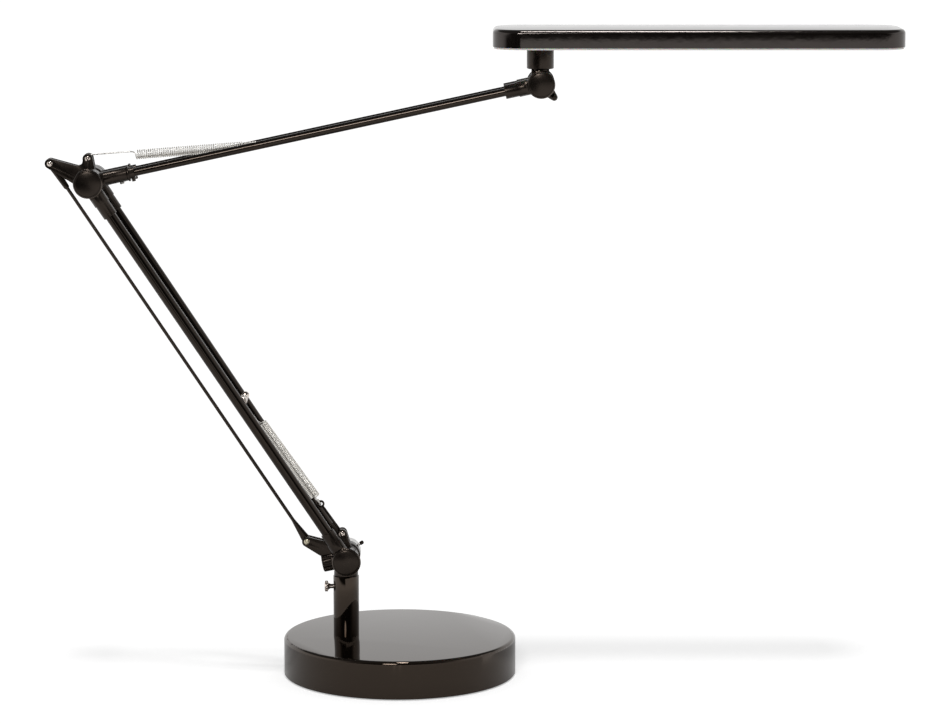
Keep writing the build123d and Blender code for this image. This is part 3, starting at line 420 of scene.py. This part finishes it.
# turned drums on the far ends of the bolts, with fine grooves round the rim
drums = {
    "elbow_drum": {"radius": 10.0, "edge": 0.5, "grooves": (0.3, 0.5, 0.7), "depth": 0.25, "width": 0.35},
    "lock_drum": {"radius": 10.9, "edge": 0.5, "grooves": (0.3, 0.5, 0.7), "depth": 0.25, "width": 0.35},
}
for node, drum in drums.items():
    low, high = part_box(node)
    near, far = low[1] / mm, high[1] / mm
    radius, edge = drum["radius"], drum["edge"]
    outline = [(0, near), (radius - edge, near), (radius, near + edge)]
    for groove in drum["grooves"]:
        at = near + (far - near) * groove
        half = drum["width"] / 2
        outline += [(radius, at - half), (radius - drum["depth"], at), (radius, at + half)]
    outline += [(radius, far - edge), (radius - edge, far), (0, far)]
    middle = Vector(((low[0] + high[0]) / 2, 0, (low[2] + high[2]) / 2))
    piece = turned([(outline, middle, Vector((0, 1, 0)))], slotOf[node], node + "_piece")
    standsFor(piece, node)


# cross pins between the tubes that the springs hook over, each with a saddle at both ends
def pinOutline(pin):
    half, inner = pin["halfLength"], pin["saddleFrom"]
    side = [(pin["pinRadius"], inner), (pin["saddleRadius"], inner + 0.3), (pin["saddleRadius"], half - 0.3)]
    side += [(pin["saddleRadius"] - 0.3, half), (0, half)]
    return [(radius, -height) for radius, height in reversed(side)] + side


crossPins = {
    "upper_spring_anchor": {
        "at": (142.5, 0), "arm": "upper", "pinRadius": 1.8, "saddleRadius": 2.9, "halfLength": 7.4,
        "saddleFrom": 5.6, "finish": "satin_black",
    },
    "lower_spring_anchor": {
        "at": (164.5, 3.9), "arm": "lower", "pinRadius": 1.8, "saddleRadius": 3.4, "halfLength": 17.3,
        "saddleFrom": 12.6, "finish": "nickel",
    },
}
for node, pin in crossPins.items():
    angle = arms[pin["arm"] + "Angle"]
    pivot = elbowPivot if pin["arm"] == "upper" else basePivot
    centre = pivot + heading(angle) * pin["at"][0] * mm - heading(angle + 90) * pin["at"][1] * mm
    piece = turned([(pinOutline(pin), centre, Vector((0, 1, 0)))], pin["finish"], node + "_piece", 40)
    standsFor(piece, node)
print("caps and cross pins turned")


# springs: one wire each on a worked-out path, turned into a tube by Geometry Nodes
def addInput(tree, name, kind, value):
    socket = tree.interface.new_socket(name, in_out="INPUT", socket_type=kind)
    if value is not None:
        socket.default_value = value
    return socket.identifier


def wireTree():
    tree = bpy.data.node_groups.new("wireTube", "GeometryNodeTree")
    names = {"path": addInput(tree, "path", "NodeSocketGeometry", None)}
    names["wireRadius"] = addInput(tree, "wireRadius", "NodeSocketFloat", 0.0006)
    names["sides"] = addInput(tree, "sides", "NodeSocketInt", 10)
    names["finish"] = addInput(tree, "finish", "NodeSocketMaterial", None)
    tree.interface.new_socket("mesh", in_out="OUTPUT", socket_type="NodeSocketGeometry")
    add, link = tree.nodes.new, tree.links.new
    given, result = add("NodeGroupInput"), add("NodeGroupOutput")
    toCurve, section = add("GeometryNodeMeshToCurve"), add("GeometryNodeCurvePrimitiveCircle")
    tube, smooth = add("GeometryNodeCurveToMesh"), add("GeometryNodeSetShadeSmooth")
    realize, finish = add("GeometryNodeRealizeInstances"), add("GeometryNodeSetMaterial")
    tube.inputs["Fill Caps"].default_value = True
    link(given.outputs["path"], toCurve.inputs["Mesh"])
    link(given.outputs["wireRadius"], section.inputs["Radius"])
    link(given.outputs["sides"], section.inputs["Resolution"])
    link(toCurve.outputs["Curve"], tube.inputs["Curve"])
    link(section.outputs["Curve"], tube.inputs["Profile Curve"])
    link(tube.outputs["Mesh"], smooth.inputs["Geometry"])
    link(smooth.outputs["Geometry"], realize.inputs["Geometry"])
    link(realize.outputs["Geometry"], finish.inputs["Geometry"])
    link(given.outputs["finish"], finish.inputs["Material"])
    link(finish.outputs["Geometry"], result.inputs["mesh"])
    return tree, names


wire, wireInputs = wireTree()


def easeBetween(start, startWay, end, endWay, steps):  # a smooth bend that leaves and arrives straight
    reach = (end - start).length
    points = []
    for step in range(1, steps):
        t = step / steps
        points.append(
            start * (2 * t ** 3 - 3 * t ** 2 + 1) + startWay * reach * (t ** 3 - 2 * t ** 2 + t)
            + end * (3 * t ** 2 - 2 * t ** 3) + endWay * reach * (t ** 3 - t ** 2)
        )
    return points


hooks = {"step": 15, "points": 17, "bend": 1.3}  # degrees, path points, and the lead's bend in coil radii


# path in the spring's own frame, in millimetres: x along its line, y across, z to the front
def springPath(spring):
    radius, turns = spring["coilRadius"], spring["turns"]
    first, last = spring["coil"]
    pitch = (last - first) / turns

    def hook(centre, size, across, angle):
        along, side = size * math.cos(math.radians(angle)), size * math.sin(math.radians(angle))
        return Vector((centre + along, 0 if across else side, side if across else 0))

    def coil(turn):
        angle = 2 * math.pi * turn
        return Vector((first + pitch * turn, radius * math.cos(angle), radius * math.sin(angle)))

    ahead = Vector((1, 0, 0))
    bend = hooks["bend"] * radius
    points = [hook(*spring["firstHook"], 330 - step * hooks["step"]) for step in range(hooks["points"])]
    leadEnd = points[-1] + ahead * (first - bend - spring["firstHook"][0])
    points += [points[-1].lerp(leadEnd, step / 8) for step in range(1, 9)]
    points += easeBetween(leadEnd, ahead, coil(0.25), Vector((0.1, -1, 0)), 8)
    perTurn = spring["perTurn"]
    steps = round((turns - 0.5) * perTurn)
    points += [coil(0.25 + step / perTurn) for step in range(steps + 1)]
    exitEnd = hook(*spring["lastHook"], 90)
    exitStart = exitEnd - ahead * (spring["lastHook"][0] - last - bend)
    points += easeBetween(coil(turns - 0.25), Vector((0.1, 1, 0)), exitStart, ahead, 8)
    points += [exitStart.lerp(exitEnd, step / 3) for step in range(3)]
    points += [hook(*spring["lastHook"], 90 - step * hooks["step"]) for step in range(hooks["points"])]
    return points


def makeSpring(name, spring, start, end):
    along = (end - start).normalized()
    across = Vector((-along.z, 0, along.x))
    front = Vector((0, -1, 0))
    path = [start + (along * p.x + across * p.y + front * p.z) * mm for p in springPath(spring)]
    mesh = bpy.data.meshes.new(name)
    mesh.from_pydata(path, [(i, i + 1) for i in range(len(path) - 1)], [])
    piece = newPiece(name, mesh, finishes["spring_steel"])
    tube = piece.modifiers.new("wireTube", "NODES")
    tube.node_group = wire
    tube[wireInputs["wireRadius"]] = spring["wireRadius"] * mm
    tube[wireInputs["sides"]] = spring["sides"]
    tube[wireInputs["finish"]] = finishes["spring_steel"]
    bakeModifiers(piece)
    return piece


upper = {
    "lug": (-2.2, 19.0), "anchorAt": 142.5, "coil": (40.5, 132.5), "turns": 50, "perTurn": 18,
    "coilRadius": 3.6, "wireRadius": 0.6, "sides": 10, "hookRadii": (2.9, 2.7), "leadBends": 36.0,
}
upperStart = elbowPivot + flat(*upper["lug"])
upperEnd = elbowPivot + heading(arms["upperAngle"]) * upper["anchorAt"] * mm
upper["firstHook"] = (0, upper["hookRadii"][0], False)
upper["lastHook"] = ((upperEnd - upperStart).length / mm, upper["hookRadii"][1], False)
upperSpring = makeSpring("upperSpringWire", upper, upperStart, upperEnd)
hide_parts("upper_spring")
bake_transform(upperSpring)

lower = {
    "lug": (-4.2, 21.5), "anchorAt": 164.5, "anchorSide": 3.9, "coil": (39.0, 118.0), "turns": 60,
    "perTurn": 16, "coilRadius": 3.6, "wireRadius": 0.6, "sides": 10, "linkLength": 31.5,
    "ringMiddle": 2.35, "hookRadius": 2.7,
}
lowerStart = basePivot + flat(*lower["lug"])
lowerEnd = basePivot + heading(arms["lowerAngle"]) * lower["anchorAt"] * mm
lowerEnd -= heading(arms["lowerAngle"] + 90) * lower["anchorSide"] * mm
lower["firstHook"] = (lower["linkLength"] + lower["ringMiddle"], lower["ringMiddle"], True)
lower["lastHook"] = ((lowerEnd - lowerStart).length / mm, lower["hookRadius"], False)
lowerSpring = makeSpring("lowerSpringWire", lower, lowerStart, lowerEnd)
standsFor(lowerSpring, "lower_spring")
print("springs wound")

# floor, light and surroundings; mirror-like rays see a pale room, dark behind the camera and overhead
room = {
    "floor": 60.0, "floorColour": 0.8, "floorGlow": 0.44, "skyLight": 0.42, "keyLight": 0.8, "keySize": 7,
    "keyFrom": (0.03, -0.16, 0.99), "stripLight": 0.8, "stripSize": 13, "stripFrom": (-0.14, -0.86, 0.5),
    "frontPatch": 0.04, "frontReach": (-0.8, -0.25), "overheadPatch": 0.14, "overheadReach": (0.42, 0.62),
    # the reach of the painted shadow, and the place and depth of the painted dark patch, which only mirrors
    # see on the floor
    "paintedShadowReach": (0.1, 0.9), "paintedDarkLeft": (-1.02, -0.85), "paintedDarkRight": (-0.12, -0.08),
    "paintedDarkFront": (-1.5, -0.5), "paintedDarkFar": (0.6, 1.4), "paintedDarkGlow": -0.6,
}
floorMesh = bpy.data.meshes.new("floor")
half = room["floor"] / 2
corners = [(-half, -half, 0), (half, -half, 0), (half, half, 0), (-half, half, 0)]
floorMesh.from_pydata(corners, [], [(0, 1, 2, 3)])
floorMaterial, floorTree, floorShader = newMaterial("paleFloor")
floorShader.inputs["Base Color"].default_value = (room["floorColour"],) * 3 + (1,)
floorShader.inputs["Roughness"].default_value = 1
floorShader.inputs["Specular IOR Level"].default_value = 0
floorShader.inputs["Emission Color"].default_value = (1, 1, 1, 1)


def calculate(tree, operation, first, second):
    node = tree.nodes.new("ShaderNodeMath")
    node.operation = operation
    for socket, value in zip(node.inputs, (first, second)):
        if isinstance(value, (int, float)):
            socket.default_value = value
        else:
            tree.links.new(value, socket)
    return node.outputs[0]


def seenDirectly(tree):  # camera, mirror and glass rays
    path = tree.nodes.new("ShaderNodeLightPath")
    mirror = calculate(tree, "MAXIMUM", path.outputs["Is Glossy Ray"], path.outputs["Is Transmission Ray"])
    return calculate(tree, "MAXIMUM", path.outputs["Is Camera Ray"], mirror), path.outputs["Is Glossy Ray"]


def ramp(tree, value, ends, results):
    remap = tree.nodes.new("ShaderNodeMapRange")
    remap.interpolation_type = "SMOOTHSTEP"
    for name, number in zip(("From Min", "From Max", "To Min", "To Max"), (*ends, *results)):
        remap.inputs[name].default_value = number
    tree.links.new(value, remap.inputs["Value"])
    return remap.outputs["Result"]


# painted shadow: in mirrors only, the floor glows less close to the base, standing in for a soft shadow
seen, glossy = seenDirectly(floorTree)
spot = floorTree.nodes.new("ShaderNodeTexCoord")
away = floorTree.nodes.new("ShaderNodeVectorMath")
away.operation = "LENGTH"
floorTree.links.new(spot.outputs["Object"], away.inputs[0])
paintedMirrorShade = ramp(floorTree, away.outputs["Value"], room["paintedShadowReach"], (-room["floorGlow"], 0))

# painted reflection: far to the left front the floor glows darker in mirrors only, which draws the black
# edge down the head's left corner
onFloor = floorTree.nodes.new("ShaderNodeSeparateXYZ")
floorTree.links.new(spot.outputs["Object"], onFloor.inputs["Vector"])
side = calculate(floorTree, "DIVIDE", onFloor.outputs["X"], away.outputs["Value"])
leftEnd = ramp(floorTree, side, room["paintedDarkLeft"], (0, 1))
rightEnd = ramp(floorTree, side, room["paintedDarkRight"], (1, 0))
inFront = ramp(floorTree, onFloor.outputs["Y"], room["paintedDarkFront"], (1, 0))
far = ramp(floorTree, away.outputs["Value"], room["paintedDarkFar"], (0, room["paintedDarkGlow"] - room["floorGlow"]))
betweenEnds = calculate(floorTree, "MULTIPLY", leftEnd, rightEnd)
across = calculate(floorTree, "MULTIPLY", betweenEnds, inFront)
paintedMirrorShade = calculate(floorTree, "ADD", paintedMirrorShade, calculate(floorTree, "MULTIPLY", across, far))
mirrored = calculate(floorTree, "MULTIPLY", glossy, paintedMirrorShade)
glow = calculate(floorTree, "MULTIPLY", seen, calculate(floorTree, "ADD", mirrored, room["floorGlow"]))
floorTree.links.new(glow, floorShader.inputs["Emission Strength"])
floor = newPiece("floor", floorMesh, floorMaterial)

world = bpy.data.worlds.new("studio")
bpy.context.scene.world = world
world.use_nodes = True
sky = world.node_tree
background = sky.nodes["Background"]
background.inputs["Color"].default_value = (1, 1, 1, 1)
skySeen, skyGlossy = seenDirectly(sky)
way = sky.nodes.new("ShaderNodeTexCoord")
split = sky.nodes.new("ShaderNodeSeparateXYZ")
sky.links.new(way.outputs["Generated"], split.inputs["Vector"])
toFront = ramp(sky, split.outputs["Y"], room["frontReach"], (1 - room["frontPatch"], 0))
overhead = ramp(sky, split.outputs["Z"], room["overheadReach"], (0, 1 - room["overheadPatch"]))
patch = calculate(sky, "MULTIPLY", calculate(sky, "MAXIMUM", toFront, overhead), skyGlossy)
roomShade = calculate(sky, "SUBTRACT", 1.0, patch)
skyMix = sky.nodes.new("ShaderNodeMix")
skyMix.inputs["A"].default_value = room["skyLight"]
sky.links.new(roomShade, skyMix.inputs["B"])
sky.links.new(skySeen, skyMix.inputs["Factor"])
sky.links.new(skyMix.outputs["Result"], background.inputs["Strength"])


def addLamp(name, strength, size, comesFrom):
    lampData = bpy.data.lights.new(name, "SUN")
    lampData.energy = strength
    lampData.angle = math.radians(size)
    lamp = bpy.data.objects.new(name, lampData)
    lamp.rotation_euler = Vector(comesFrom).to_track_quat("Z", "Y").to_euler()
    bpy.context.scene.collection.objects.link(lamp)


addLamp("overheadKey", room["keyLight"], room["keySize"], room["keyFrom"])
addLamp("frontStrip", room["stripLight"], room["stripSize"], room["stripFrom"])
print("room lit")
